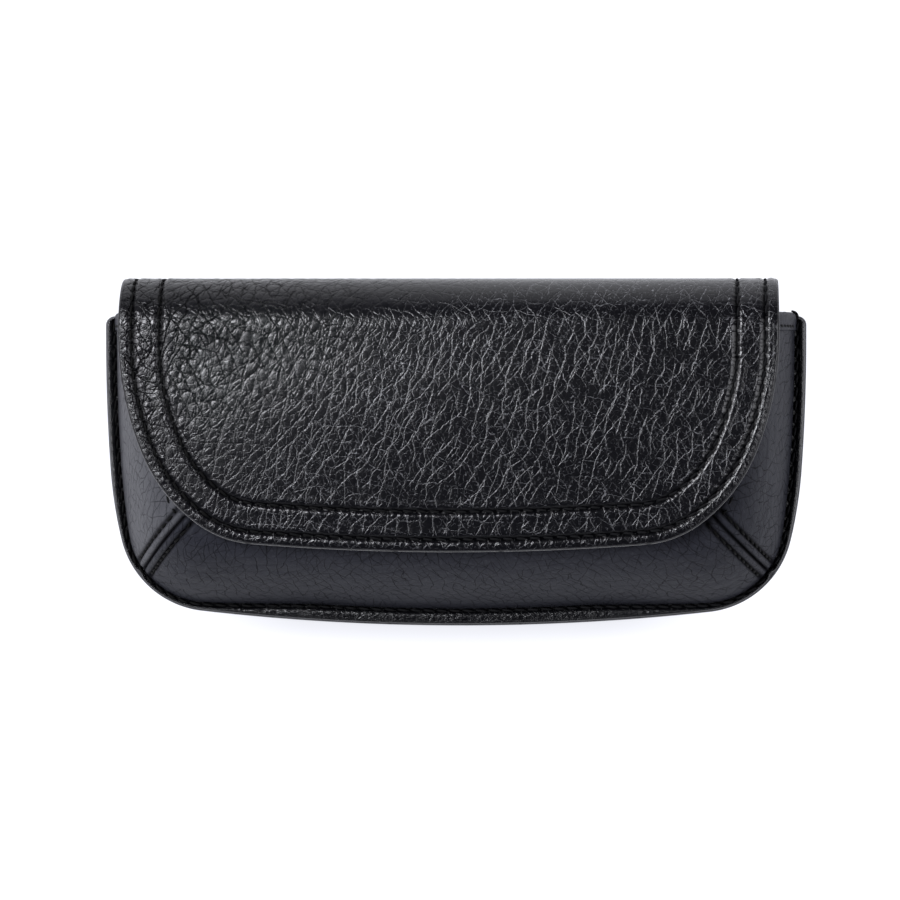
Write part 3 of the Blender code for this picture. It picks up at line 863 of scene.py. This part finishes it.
def fold_rows():
    """The two rows of stitches round the flap and over the strip, on both sides."""
    for row, inset in (("edge", EDGE_ROW), ("inner", INNER_ROW)):
        side = FLAP_HALF_WIDTH - inset
        front = resample(strip_sides(flap_line(inset), side, STRIP_MIDDLE + 0.1), 0.4)
        thread = fold_stitches(f"flap_{row}_stitches", front)
        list(fold_ends(FRONT_START, FRONT_END))
        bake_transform(thread)
        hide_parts(f"flap_{row}_thread")
        for name, sign in (("left", -1), ("right", 1)):
            up = np.linspace(-7, STRIP_MIDDLE - 0.1, 80)
            rear = np.stack([np.full(len(up), sign * side), up], axis=1)
            thread = fold_stitches(f"top_{row}_stitches_{name}", rear)
            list(fold_ends(0, WALL_START))
            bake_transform(thread)
            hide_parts(f"top_{row}_thread_{name}")


# ------------------------------------------------------------------ the folded lining

def lining_depth(a, b, distance):
    """How far below the hide's outside the lining's seen side is: it steps in over
    the flap board and the back board, and closes up to the leather round the edge."""
    across = np.minimum(distance, FLAP_HALF_WIDTH - np.abs(a))
    on_flap = smooth(b, FRONT_END - 4, FRONT_END + 3) * smooth(across, 2.8, 5.5)
    on_back = 1 - smooth(b, -5, 1.0)
    return 2.35 + 1.2 * np.maximum(on_flap, on_back)


def cloth(a, b):
    return 0.05 * value_noise(a, b, 6.0, 71) + 0.03 * value_noise(a, b, 2.2, 73)


def flap_lining_relief(a, b, distance, along):
    depth = lining_depth(a, b, distance)
    across = np.minimum(
        np.where(b < FRONT_END + 4, NO_EDGE, distance), FLAP_HALF_WIDTH - np.abs(a))
    row = (0.10 + 0.06 * beat(along)) * bump(across, EDGE_ROW, 0.5)
    row += (0.08 + 0.05 * beat(along)) * bump(across, INNER_ROW, 0.5)
    magnet = sum(
        smooth(-np.hypot(a - x, b - down_front(up)), -5.8, -4.8) for x, up in MAGNETS
    )
    roll = 0.3 * (1 - smooth(across, 0, 0.7))
    return -(depth + 0.25 * magnet + cloth(a, b) - row - roll), None


def rear_lining_relief(a, b, distance, along):
    return -(lining_depth(a, b, 0 * a + NO_EDGE) + cloth(a, b)), None


def make_folded_lining():
    side = FLAP_HALF_WIDTH
    outline = closed(strip_sides(flap_line(0.0), side, STRIP_MIDDLE), 0.2)
    rows = np.concatenate([
        even(STRIP_MIDDLE, FRONT_END, LINING_STEP)[:-1],
        even(FRONT_END, down_front(FLAP_BOTTOM) + 0.3, LINING_STEP),
    ])
    edge = [(0.12, -0.25), (0.16, -0.5), (0.1, -0.8), (-0.1, -1.05), (-1.2, -1.1)]
    front = skin(
        "flap_lining_skin", outline, even(-side, side, LINING_STEP), rows, lay_fold,
        flap_lining_relief, edge, SUEDE,
    )
    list(fold_ends(FRONT_START, FRONT_END))
    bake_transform(front)
    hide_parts("flap_lining")

    inset = 8.1
    half = rise(*walk((0, 0), RIM_ARCS, arc_counts(RIM_ARCS, 0.3), inset), MOUTH - 3, 20)
    flat, outline = back_outline(half, side, 0.5, 0.2)
    rows = even(flat[:, 1].min(), STRIP_MIDDLE, LINING_STEP)
    rear = skin(
        "back_lining_skin", outline, even(-side, side, LINING_STEP), rows, lay_fold,
        rear_lining_relief, [(0.05, -0.3), (0.0, -0.7)], SUEDE,
    )
    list(fold_ends(0, WALL_START))
    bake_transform(rear)
    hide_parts("back_lining", "top_lining")


# ------------------------------------------------------------------ the boxed front

STRETCH = arc_counts(RIM_ARCS, GRAIN_STEP)
SEAM = STRETCH[0] + STRETCH[1]
END_STEPS = 13


def straight_up(half_and_heading):
    return rise(*half_and_heading, MOUTH, END_STEPS)


def foot_line(outwards=0.0):
    """Where the front's wall leaves the rim: closest to its edge at the corner seams."""
    narrow = straight_up(walk((0, 0), RIM_ARCS, STRETCH, RIM_NARROW - outwards))
    wide = straight_up(walk((0, 0), RIM_ARCS, STRETCH, RIM_WIDE - outwards))
    part = 1 - smooth(narrow[:, 0], 30, 70) + RIM_SIDES * smooth(narrow[:, 1], 14, 34)
    return narrow + (wide - narrow) * part[:, None]


BASE = both_sides(foot_line())
EDGE = both_sides(straight_up(walk((0, 0), RIM_ARCS, STRETCH)))
FACE = both_sides(straight_up(walk((0, FACE_BOTTOM), FACE_ARCS, STRETCH)))
MIDDLE = len(BASE) // 2
LEFT_SEAM, RIGHT_SEAM = MIDDLE - SEAM, MIDDLE + SEAM
WALL_ROWS = 84


def bezier(part, first, second):
    rest = 1 - part
    return 3 * rest * rest * part * first + 3 * rest * part * part * second + part ** 3


def wall_grid():
    """Points of the front's wall, one row for each height, from the rim to the face."""
    part = np.linspace(0, 1, WALL_ROWS)[:, None, None]
    inwards = bezier(part, WALL_LEAN[0][0], WALL_LEAN[1][0])
    upwards = bezier(part, WALL_LEAN[0][1], WALL_LEAN[1][1])
    plan = BASE + (FACE - BASE) * inwards
    levels = RIM_TOP + (FACE_LEVEL - RIM_TOP) * upwards[:, 0, 0]
    return np.stack([on_plan(row, z) for row, z in zip(plan, levels)])


def grid_normals(points):
    return unit(np.cross(np.gradient(points, axis=1), np.gradient(points, axis=0)))


WALL = wall_grid()
WALL_NORMALS = grid_normals(WALL)
if WALL_NORMALS[WALL_ROWS // 2, MIDDLE, 2] < 0:
    WALL_NORMALS = -WALL_NORMALS
ROUND = length_along((BASE + FACE) / 2)
ROUND -= ROUND[MIDDLE]
UP_WALL = length_along(WALL[:, MIDDLE])


def seam_distance(columns):
    """How far each point of the wall is from the nearer corner seam."""
    distance = np.full((WALL_ROWS, columns.stop - columns.start), NO_EDGE)
    for seam in (LEFT_SEAM, RIGHT_SEAM):
        line = WALL[:, seam]
        ahead = unit(np.gradient(line, axis=0))[:, None, :]
        offset = WALL[:, columns] - line[:, None, :]
        offset = offset - np.sum(offset * ahead, axis=2, keepdims=True) * ahead
        distance = np.minimum(distance, np.linalg.norm(offset, axis=2))
    return distance


def seam_relief(distance, along):
    """Two turned-back edges that meet in a groove, each held down by its stitches."""
    height = -0.85 * bump(distance, 0, 0.28) + 0.42 * bump(distance, 1.15, 0.85)
    height -= (0.62 + 0.12 * beat(along)) * bump(distance, SEAM_ROW, 0.45)
    return height + 0.16 * bump(distance, SEAM_ROW + 1.3, 0.8)


def outward_of(line):
    tangent = unit(np.gradient(line, axis=0))
    return np.stack([tangent[:, 1], -tangent[:, 0]], axis=1)


FACE_OUTWARD = outward_of(FACE)
# The rolled edge of the rim, from under it to its top: beyond the edge, and level
RIM_ROLL = [(-0.6, -2.3), (-0.45, -1.7), (-0.25, -1.36), (0.0, -1.25), (0.1, -1.0),
            (0.1, -0.65), (0.03, -0.3), (-0.12, -0.08), (-0.32, 0.0)]


def rim_edge():
    """The rim's outer edge by the wall's columns, with its top corner rounded and a
    notch where each corner seam runs out."""
    above = np.clip(EDGE[:, 1] - (MOUTH - RIM_TOP_CORNER), 0, RIM_TOP_CORNER)
    cut = RIM_TOP_CORNER - np.sqrt(RIM_TOP_CORNER ** 2 - above ** 2)
    cut = cut + 0.55 * bump(seam_flat(slice(None)), 0, 0.8)
    return EDGE - outward_of(EDGE) * cut[:, None]


def wall_piece(name, start, stop, seed, node, look=PANEL_LEATHER):
    """One leather panel's stretch of the wall, with its rim and the turn to the face."""
    columns = slice(start, stop)
    wide = stop - start
    along = ROUND[columns]
    a = np.broadcast_to(along, (WALL_ROWS, wide))
    b = np.broadcast_to(UP_WALL[:, None], (WALL_ROWS, wide))
    rows, uvs, marks = [], [], []

    def add_row(plan, level, up, mark):
        rows.append(on_plan(plan, level))
        uvs.append(np.stack([along, np.broadcast_to(up, wide)], axis=1))
        marks.append(mark)

    base, edge = BASE[columns], rim_edge()[columns]
    width = np.linalg.norm(edge - base, axis=1)
    outward = unit(edge - base)
    plain = np.full((wide, 11), FAR)
    plain[:, STRENGTHS] = 0
    plain[:, WEAR] = 0
    for beyond, level in RIM_ROLL:
        add_row(edge + outward * beyond, RIM_TOP + level, -width - beyond + level, plain)
    rim_parts = np.linspace(0.88, 0.04, 13)
    for part in rim_parts:
        away = (width - 0.32) * part
        lift, mark = grain(along, 40 - away, seed + 2, 0.4, 0.3, 0.5)
        lift = 0.6 * lift + row_relief(away, along, STITCH_TO_WALL, 3)
        lift += pucker(along, away, 1.5, 1.2, 0.04, 63)
        mark[:, TO_CHANNEL] = np.abs(away - STITCH_TO_WALL)
        lift -= 0.6 * bump(seam_flat(columns), 0, 0.7)
        add_row(base + outward * away[:, None], RIM_TOP + lift, -away, mark)

    height, mark = grain(a, b, seed, 0.85, 0.0, 0.1)
    distance = seam_distance(columns)
    height = 0.6 * height * (0.35 + 0.65 * smooth(distance, 0.8, 3.5))
    height += seam_relief(distance, b) + pucker(b, distance, 2.0, 1.4, 0.035, 61)
    height += 0.06 * value_noise(a * 0.35, b, 2.4, seed + 5)
    height = height * smooth(b, 0.0, 2.0)
    mark[..., STRENGTHS] *= 0.9
    mark[..., TO_CHANNEL] = np.minimum(np.abs(distance - SEAM_ROW), 1.3 * distance)
    rows += list(WALL[:, columns] + WALL_NORMALS[:, columns] * height[..., None])
    uvs += list(np.stack([a, b], axis=2))
    marks += list(mark)
    for inward, down in ((0.5, 0.05), (1.2, 0.3)):
        plan = FACE[columns] - FACE_OUTWARD[columns] * inward
        add_row(plan, FACE_LEVEL - down, UP_WALL[-1] + inward, mark[-1])
    rim_faces = (len(RIM_ROLL) + len(rim_parts) - 1) * (wide - 1)
    made = make_mesh(
        name, np.concatenate(rows), grid_faces(len(rows), wide), look,
        np.concatenate(uvs), np.concatenate(marks), (FLAP_LEATHER, slice(0, rim_faces)),
    )
    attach(made, "case_body")
    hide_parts(node)


def seam_flat(columns):
    return np.minimum(
        np.abs(ROUND[columns] - ROUND[LEFT_SEAM]), np.abs(ROUND[columns] - ROUND[RIGHT_SEAM])
    )


def face_crown(x, up):
    bow = FACE_CROWN * (1 - (x / FACE_HALF_WIDTH) ** 2)
    return bow * smooth(up, FACE_BOTTOM, FACE_BOTTOM + 25)


def face_relief(a, b, distance, along):
    height, marks = grain(a, b, 7, 0.85, 0.0, 0.1)
    marks[:, STRENGTHS] *= 0.9
    height = height * 0.55
    side = np.abs(a) > 60
    across = np.where(side & (b <= MOUTH - 3), distance, NO_EDGE)
    height += np.where(side, seam_relief(across, along), 0) * smooth(np.abs(a), 60, 64)
    height -= 0.5 * (1 - smooth(distance, 0, 1.5)) * side
    return height, marks


def lay_face(x, up, height):
    return on_plan(np.stack([x, up], axis=1), FACE_LEVEL + face_crown(x, up) + height)


def make_front():
    wall_piece("front_panel_wall", LEFT_SEAM, RIGHT_SEAM + 1, 7, "front_panel")
    # The left gusset takes the lighter leather, painted light from the left.
    wall_piece("left_gusset_skin", 0, LEFT_SEAM + 1, 13, "left_gusset", LIT_GUSSET_LEATHER)
    wall_piece("right_gusset_skin", RIGHT_SEAM, len(BASE), 19, "right_gusset")
    outline = closed(FACE)
    wide = FACE[:, 0].max()
    face = skin(
        "front_panel_face", outline, even(-wide, wide, 0.6), even(FACE_BOTTOM, MOUTH, 0.6),
        lay_face, face_relief, [(0, 0.3)], PANEL_LEATHER,
    )
    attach(face, "case_body")


def make_front_lining():
    """The lining's seen side: its wall, then its face in rows from side to side."""
    columns = np.unique(np.concatenate([np.arange(0, len(BASE), 5), [len(BASE) - 1]]))
    rows = np.arange(3, WALL_ROWS, 4)
    wall = (WALL - WALL_NORMALS * LAYERS)[rows][:, columns]
    nap = value_noise(ROUND[columns][None, :], UP_WALL[rows][:, None], 5.0, 81) * 0.08
    wall = wall + WALL_NORMALS[rows][:, columns] * nap[..., None]
    count = len(columns)
    faces = grid_faces(len(rows), count, flip=True)
    points = list(wall.reshape(-1, 3))
    uvs = list(np.stack(np.broadcast_arrays(
        ROUND[columns][None, :], UP_WALL[rows][:, None]), axis=2).reshape(-1, 2))
    top = (len(rows) - 1) * count
    half = count // 2
    level = wall[-1, :, 2].mean()
    across = np.linspace(0, 1, 41)[1:-1, None]
    previous = None
    for k in range(half):
        left, right = wall[-1, k], wall[-1, count - 1 - k]
        spots = left + (right - left) * across
        spots[:, 2] = level + 0.08 * value_noise(spots[:, 0], spots[:, 1], 7.0, 83)
        first = len(points)
        points += list(spots)
        uvs += list(spots[:, :2])
        row = [top + k, *range(first, len(points)), top + count - 1 - k]
        if previous is not None:
            faces += zip(previous[:-1], previous[1:], row[1:], row[:-1])
        previous = row
    faces.append(tuple(previous + ([top + half] if count % 2 else [])))
    made = make_mesh("front_lining_skin", np.array(points), faces, SUEDE, np.array(uvs))
    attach(made, "case_body")
    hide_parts("front_lining")


def make_rim_stitches():
    line = both_sides(foot_line(STITCH_TO_WALL))[1:-1]
    path = on_plan(line, RIM_TOP - 0.18)
    normals = np.tile([0.0, 0.0, 1.0], (len(path), 1))
    thread = stitches("rim_stitches", path, normals)
    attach(thread, "case_body")
    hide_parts("rim_thread")


def make_loose_ends():
    """The two cut ends of the rim's thread, which curl over the right gusset's top."""
    start = np.array([BASE[-1, 0] + STITCH_TO_WALL, BOTTOM + MOUTH - 0.6, RIM_TOP - 0.1])
    ends = [
        [(0, 0, 0), (-0.1, 1.0, 0.5), (-0.9, 1.7, 0.8), (-2.0, 1.3, 1.1), (-3.0, 1.9, 1.2),
         (-4.0, 1.6, 1.0)],
        [(0, 0, 0), (0.2, 0.9, 0.4), (-0.3, 1.9, 0.6), (-1.4, 2.2, 0.9)],
    ]
    for name, steps in zip(("long", "short"), ends):
        line = start + np.array(steps)
        for _ in range(3):
            early = line[:-1] * 0.75 + line[1:] * 0.25
            late = line[:-1] * 0.25 + line[1:] * 0.75
            between = np.stack([early, late], axis=1).reshape(-1, 3)
            line = np.concatenate([line[:1], between, line[-1:]])
        ahead = unit(np.gradient(line, axis=0))
        side = unit(np.cross(ahead, (0, 0, 1)))
        turn = np.linspace(0, 2 * math.pi, 9)[:, None]
        round_it = np.cos(turn) * side[:, None] + np.sin(turn) * np.cross(side, ahead)[:, None]
        body = (line[:, None] + 0.26 * round_it).reshape(-1, 3)
        flat = np.stack(np.broadcast_arrays(length_along(line)[:, None], turn[:, 0]), axis=2)
        thread = make_mesh(
            f"rim_thread_{name}_end", body, grid_faces(*flat.shape[:2]), THREAD,
            flat.reshape(-1, 2))
        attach(thread, "case_body")


def make_seam_stitches():
    """Two rows beside each corner seam, up the wall and along the edge of the face."""
    first, halfway = 4, 40
    for side, seam, toward in (("left", LEFT_SEAM, -1), ("right", RIGHT_SEAM, 1)):
        for row, sign in (("low", -1), ("high", 1)):
            line = WALL[first:-3, seam]
            normals = WALL_NORMALS[first:-3, seam]
            ahead = unit(np.gradient(line, axis=0))
            across = unit(np.cross(ahead, normals))
            beside = WALL[halfway, seam + 3 * toward * sign] - WALL[halfway, seam]
            if np.dot(across[halfway - first], beside) < 0:
                across = -across
            path = line + across * SEAM_ROW - normals * 0.3
            ends = np.arange(seam + 6 * toward, 0 if toward < 0 else len(FACE) - 1, toward)
            outwards = FACE_OUTWARD[ends]
            if sign < 0:
                plan = FACE[ends] - outwards * SEAM_ROW
                z = FACE_LEVEL + face_crown(plan[:, 0], plan[:, 1]) - 0.12
                more = on_plan(plan, z)
                tilt = np.tile([0.0, 0.0, 1.0], (len(ends), 1))
            else:
                down = np.argmin(np.abs(UP_WALL[-1] - UP_WALL - 0.4 * SEAM_ROW))
                more = WALL[down, ends] - WALL_NORMALS[down, ends] * 0.12
                tilt = WALL_NORMALS[down, ends]
            thread = stitches(
                f"{side}_seam_stitches_{row}", np.concatenate([path, more]),
                np.concatenate([normals, tilt]),
            )
            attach(thread, "case_body")
            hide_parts(f"{side}_seam_thread_{row}")


def make_binding():
    """The strip folded over the edges of the front's layers along the mouth."""
    left, right = WALL[:, 0], WALL[::-1, -1]
    across = np.linspace(left[-1], right[0], 340)[1:-1]
    across[:, 2] += face_crown(across[:, 0], MOUTH)
    line = resample(np.concatenate([left, across, right]), GRAIN_STEP)
    ahead = unit(np.gradient(line, axis=0))
    outwards = unit(np.stack([-ahead[:, 2], 0 * ahead[:, 0], ahead[:, 0]], axis=1))
    along = length_along(line)
    section = [
        (-3.2, 0.02), (-3.15, 0.35), (-2.9, 0.55), (-2.4, 0.62), (-1.9, 0.62), (-1.4, 0.6),
        (-0.9, 0.6), (-0.4, 0.6), (0.1, 0.58), (0.6, 0.5), (1.0, 0.2), (1.25, -0.4),
        (1.35, -1.2), (1.35, -2.0), (1.3, -2.8), (1.1, -3.5), (0.7, -4.0), (0.1, -4.3),
        (-0.8, -4.4), (-2.0, -4.4), (-3.2, -4.35), (-4.0, -4.25), (-4.2, -3.9),
    ]
    middle = -1.9
    rows, uvs, creases = [], [], []
    girth = 0.0
    for number, (up, out) in enumerate(section):
        if number:
            girth += math.dist(section[number - 1], section[number])
        lift, marks = grain(along, girth + 60 + 0 * along, 29, 0.6, 0.3, 0.3)
        lift = 0.45 * lift + pucker(along, 0 * along + up, -1.9, 1.2, 0.04, 65)
        lift -= 0.16 * bump(up + 0 * along, -BINDING_ROW, 0.35)
        reach = out + lift * np.sign(out - middle)
        spot = line + outwards * reach[:, None]
        spot[:, 1] = BOTTOM + MOUTH + up
        spot[:, 2] = np.maximum(spot[:, 2], RIM_TOP + 0.1 if out > -1 else LAYERS + 0.05)
        rows.append(spot)
        uvs.append(np.stack([along, girth + 0 * along], axis=1))
        creases.append(marks)
    made = make_mesh(
        "mouth_binding_skin", np.concatenate(rows), grid_faces(len(rows), len(line), flip=True),
        PANEL_LEATHER, np.concatenate(uvs), np.concatenate(creases),
    )
    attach(made, "case_body")
    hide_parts("mouth_binding")

    path = line + outwards * 0.48
    path[:, 1] = BOTTOM + MOUTH - BINDING_ROW
    thread = stitches("mouth_stitches", path[8:-8], outwards[8:-8])
    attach(thread, "case_body")


def dress_hidden():
    """Boards, magnets and plates keep their solids and get their finish."""
    steel = [f"{kind}_{side}" for kind in ("keeper_plate", "flap_magnet")
             for side in ("left", "right")]
    boards = ("back_board", "front_shell", "flap_board")
    for nodes, look in ((boards, BOARD_LOOK), (steel, STEEL)):
        for node in nodes:
            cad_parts[node].data.materials.clear()
            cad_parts[node].data.materials.append(look)


# ------------------------------------------------------------------ stage

CAMERA_DISTANCE = 1300.0
VIEW_WIDTH = 220.6               # what the frame spans at the rim's level
CAMERA_RIGHT = 2.85              # degrees the camera stands off to the right
CAMERA_UP = 1.0                  # and towards the mouth
VIEW_CENTRE = (-1.15, 0.45)      # the point of the rim's level in the frame's middle


def make_camera():
    data = bpy.data.cameras.new("camera")
    data.sensor_width = 36
    data.lens = 36 * CAMERA_DISTANCE / VIEW_WIDTH
    data.clip_start, data.clip_end = 0.01, 20
    camera = add_object("camera", data)
    right, up = math.radians(CAMERA_RIGHT), math.radians(CAMERA_UP)
    target = Vector((VIEW_CENTRE[0], VIEW_CENTRE[1], RIM_TOP))
    back = Vector((math.sin(right), math.sin(up), math.cos(right)))
    camera.location = (target + back * CAMERA_DISTANCE) * MM
    back.normalize()
    across = Vector((0, 1, 0)).cross(back).normalized()
    camera.rotation_mode = "QUATERNION"
    turned = Matrix((across, back.cross(across), back)).transposed()
    camera.rotation_quaternion = turned.to_quaternion()
    bpy.context.scene.camera = camera


def area_light(name, place, aim, size, power):
    data = bpy.data.lights.new(name, "AREA")
    data.shape = "RECTANGLE"
    data.size, data.size_y = size
    data.energy = power
    data.color = (0.94, 0.95, 1.0)
    light = add_object(name, data)
    light.location = place
    light.rotation_mode = "QUATERNION"
    light.rotation_quaternion = (Vector(aim) - Vector(place)).to_track_quat("-Z", "Y")


def make_world():
    """White at the horizon, grey just above it, and dark overhead, where the camera is."""
    world = bpy.data.worlds.new("studio")
    bpy.context.scene.world = world
    world.use_nodes = True
    tree = world.node_tree
    back = tree.nodes["Background"]
    where = tree.nodes.new("ShaderNodeTexCoord")
    split = tree.nodes.new("ShaderNodeSeparateXYZ")
    ramp = tree.nodes.new("ShaderNodeValToRGB")
    elements = ramp.color_ramp.elements
    elements[0].position, elements[0].color = 0.02, (1.0, 1.0, 1.0, 1)
    elements[1].position, elements[1].color = 0.8, (0.008, 0.008, 0.011, 1)
    for height, color in ((0.3, (0.17, 0.17, 0.2, 1)), (0.07, (0.42, 0.42, 0.45, 1))):
        elements.new(height).color = color
    tree.links.new(where.outputs["Generated"], split.inputs["Vector"])
    tree.links.new(split.outputs["Z"], ramp.inputs["Fac"])
    tree.links.new(ramp.outputs["Color"], back.inputs["Color"])
    back.inputs["Strength"].default_value = 1.0


def make_floor():
    data = bpy.data.meshes.new("floor")
    half = 3.0
    low = -0.0003
    data.from_pydata(
        [(-half, -half, low), (half, -half, low), (half, half, low), (-half, half, low)],
        [], [(0, 1, 2, 3)],
    )
    floor = add_object("floor", data)
    look = Nodes("white_table")
    look.set(Base_Color=(0.05, 0.05, 0.05, 1), Roughness=0.9, Specular_IOR_Level=0.0)
    look.set(Emission_Color=(0.93, 0.94, 1.0, 1))
    place = look.add("ShaderNodeTexCoord").outputs["Object"]
    split = look.add("ShaderNodeSeparateXYZ")
    look.link(place, split.inputs["Vector"])
    # A soft shadow on the table, from the bottom rim's arc outwards and along its middle
    radius = RIM_ARCS[0][0]
    from_middle = look.add("ShaderNodeVectorMath", operation="DISTANCE")
    from_middle.inputs[1].default_value = (0, (BOTTOM + radius) * MM, low)
    look.link(place, from_middle.inputs[0])
    beyond = look.minus(from_middle.outputs["Value"], radius * MM)
    below = look.math("LESS_THAN", split.outputs["Y"], 0)
    side = look.minus(look.math("ABSOLUTE", split.outputs["X"], 0), 0.035)
    shade = look.times(look.fall(beyond, 0.0095), below, look.fall(side, 0.042))
    look.link(look.scaled(shade, 1.16, 0.86), look.shader.inputs["Emission Strength"])
    data.materials.append(look.material)


def make_lights():
    area_light("key_light", (-0.26, 0.17, 0.58), (-0.05, 0.01, 0.03), (0.2, 0.2), 2.9)
    area_light("front_light", (0, -0.95, 0.5), (0, 0, 0.02), (1.6, 0.35), 0.8)
    area_light("left_light", (-0.72, 0, 0.7), (0, 0, 0.02), (0.35, 1.0), 3.8)
    area_light("right_light", (0.74, 0, 0.7), (0, 0, 0.02), (0.35, 1.0), 4.2)
    area_light("top_light", (0, 0.95, 0.3), (0, 0, 0.02), (1.6, 0.35), 1.0)


make_camera()
make_world()
make_floor()
make_lights()
bpy.context.scene.view_settings.view_transform = "Standard"

make_outer_leather()
fold_rows()
make_folded_lining()
make_front()
make_front_lining()
make_rim_stitches()
make_loose_ends()
make_seam_stitches()
make_binding()
dress_hidden()
